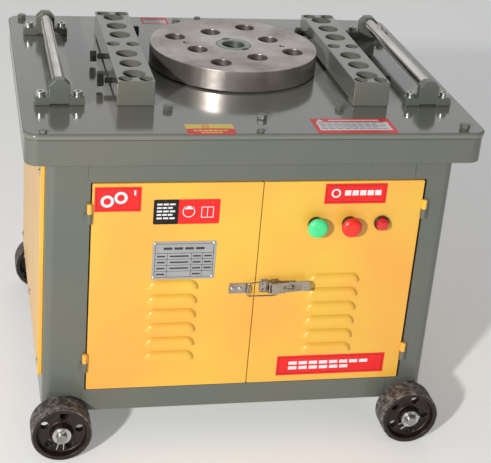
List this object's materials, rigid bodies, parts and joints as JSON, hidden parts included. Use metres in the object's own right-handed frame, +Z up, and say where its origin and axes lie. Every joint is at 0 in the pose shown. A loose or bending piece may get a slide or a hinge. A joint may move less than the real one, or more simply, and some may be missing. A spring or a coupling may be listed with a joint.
{
  "type": "rebar bender",
  "caption": "Floor-standing electric rebar bender: turning disc with pin holes, pin rails and rollers on a table over a wheeled cabinet with hinged doors.",
  "frame": {"origin": "on the ground under the middle of the machine", "axes": "+X to the operator's right, +Y from the doors towards the back, +Z up"},
  "size_m": [0.88, 0.788, 0.7413],
  "materials": {
    "grey_paint": "semi-gloss grey-green machine enamel, worn at the edges",
    "yellow_paint": "satin yellow enamel with fine orange peel",
    "machine_paint": "satin dark green-grey machine enamel",
    "disc_steel": "turned steel, faintly oxidised, with circular tool marks",
    "bare_steel": "ground steel, lightly oiled",
    "zinc_plate": "bright zinc plate",
    "roller_chrome": "polished hard chrome",
    "wheel_iron": "cast iron under worn black paint, dusty tread",
    "gear_bronze": "cast bronze",
    "black_plastic": "moulded black",
    "green_plastic": "glossy green",
    "red_plastic": "glossy red",
    "belt_rubber": "dull black rubber"
  },
  "bodies": {
    "frame": {"table_plate": "grey_paint", "table_skirt": "grey_paint", "cabinet_frame": "grey_paint", "cabinet_floor": "grey_paint", "side_cover_left": "yellow_paint", "side_cover_right": "yellow_paint", "rear_cover": "yellow_paint", "hinge_left_upper": "grey_paint", "hinge_left_lower": "grey_paint", "hinge_right_upper": "grey_paint", "hinge_right_lower": "grey_paint", "pin_rail_left": "grey_paint", "pin_rail_right": "grey_paint", "roller_block_left_front": "grey_paint", "roller_block_left_rear": "grey_paint", "roller_block_right_front": "grey_paint", "roller_block_right_rear": "grey_paint", "axle_left": "bare_steel", "axle_right": "bare_steel", "wheel_washer_front_left": "zinc_plate", "wheel_washer_front_right": "zinc_plate", "wheel_washer_rear_left": "zinc_plate", "wheel_washer_rear_right": "zinc_plate", "gearbox_housing": "machine_paint", "gearbox_cover": "machine_paint", "main_bearing_upper": "bare_steel", "main_bearing_lower": "bare_steel", "worm_bearing_left": "bare_steel", "worm_bearing_right": "bare_steel", "v_belt": "belt_rubber", "motor_housing": "machine_paint", "motor_fan_cover": "machine_paint", "control_box": "machine_paint"},
    "disc_drive": {"bending_disc": "disc_steel", "main_shaft": "bare_steel", "worm_wheel": "gear_bronze"},
    "worm_drive": {"worm_shaft": "bare_steel", "driven_pulley": "wheel_iron"},
    "motor_rotor": {"motor_shaft": "bare_steel", "motor_pulley": "wheel_iron", "motor_fan": "black_plastic"},
    "left_door": {"door_left": "yellow_paint", "latch_catch": "zinc_plate"},
    "right_door": {"door_right": "yellow_paint", "latch_base": "zinc_plate", "start_bezel": "black_plastic", "stop_bezel": "black_plastic", "start_contacts": "black_plastic", "stop_contacts": "black_plastic", "power_lamp": "red_plastic"},
    "lever": {"latch_lever": "zinc_plate"},
    "bail": {"latch_bail": "zinc_plate"},
    "start_push": {"start_button": "green_plastic"},
    "stop_push": {"stop_button": "red_plastic"},
    "left_roller": {"roller_left": "roller_chrome"},
    "right_roller": {"roller_right": "roller_chrome"},
    "front_left_wheel": {"wheel_front_left": "wheel_iron"},
    "front_right_wheel": {"wheel_front_right": "wheel_iron"},
    "rear_left_wheel": {"wheel_rear_left": "wheel_iron"},
    "rear_right_wheel": {"wheel_rear_right": "wheel_iron"}
  },
  "joints": [
    {"name": "disc_turn", "type": "hinge", "parent": "frame", "child": "disc_drive", "pos_m": [0.013, 0.027, 0.7], "axis": [0, 0, 1], "continuous": true},
    {"name": "worm_turn", "type": "hinge", "parent": "frame", "child": "worm_drive", "pos_m": [0, 0.157, 0.55], "axis": [1, 0, 0], "continuous": true},
    {"name": "motor_turn", "type": "hinge", "parent": "frame", "child": "motor_rotor", "pos_m": [0, 0.157, 0.1846], "axis": [1, 0, 0], "continuous": true},
    {"name": "door_right_swing", "type": "hinge", "parent": "frame", "child": "right_door", "pos_m": [0.344, -0.3253, 0.35], "axis": [0, 0, 1], "range_deg": [0, 120]},
    {"name": "door_left_swing", "type": "hinge", "parent": "frame", "child": "left_door", "pos_m": [-0.314, -0.3253, 0.35], "axis": [0, 0, -1], "range_deg": [0, 90]},
    {"name": "latch_lever_turn", "type": "hinge", "parent": "right_door", "child": "lever", "pos_m": [0.046, -0.331, 0.348], "axis": [0, 0, -1], "range_deg": [0, 150]},
    {"name": "latch_bail_turn", "type": "hinge", "parent": "lever", "child": "bail", "pos_m": [0.057, -0.331, 0.348], "axis": [0, 0, -1], "range_deg": [-180, 0]},
    {"name": "start_press", "type": "slide", "parent": "right_door", "child": "start_push", "axis": [0, 1, 0], "range_m": [0, 0.005], "stiffness_N_per_m": 400},
    {"name": "stop_press", "type": "slide", "parent": "right_door", "child": "stop_push", "axis": [0, 1, 0], "range_m": [0, 0.005], "stiffness_N_per_m": 400},
    {"name": "roller_left_turn", "type": "hinge", "parent": "frame", "child": "left_roller", "pos_m": [-0.365, 0.0085, 0.726], "axis": [0, 1, 0], "continuous": true},
    {"name": "roller_right_turn", "type": "hinge", "parent": "frame", "child": "right_roller", "pos_m": [0.365, 0.0085, 0.726], "axis": [0, 1, 0], "continuous": true},
    {"name": "wheel_front_left_turn", "type": "hinge", "parent": "frame", "child": "front_left_wheel", "pos_m": [-0.36, -0.355, 0.06], "axis": [0, 1, 0], "continuous": true},
    {"name": "wheel_front_right_turn", "type": "hinge", "parent": "frame", "child": "front_right_wheel", "pos_m": [0.36, -0.355, 0.06], "axis": [0, 1, 0], "continuous": true},
    {"name": "wheel_rear_left_turn", "type": "hinge", "parent": "frame", "child": "rear_left_wheel", "pos_m": [-0.36, 0.355, 0.06], "axis": [0, 1, 0], "continuous": true},
    {"name": "wheel_rear_right_turn", "type": "hinge", "parent": "frame", "child": "rear_right_wheel", "pos_m": [0.36, 0.355, 0.06], "axis": [0, 1, 0], "continuous": true}
  ],
  "couplings": [
    {"joint": "worm_turn", "follows": "disc_turn", "ratio": 40},
    {"joint": "motor_turn", "follows": "disc_turn", "ratio": 100},
    {"joint": "door_left_swing", "follows": "door_right_swing", "ratio": 0.75},
    {"joint": "latch_bail_turn", "follows": "latch_lever_turn", "ratio": -1.2}
  ]
}
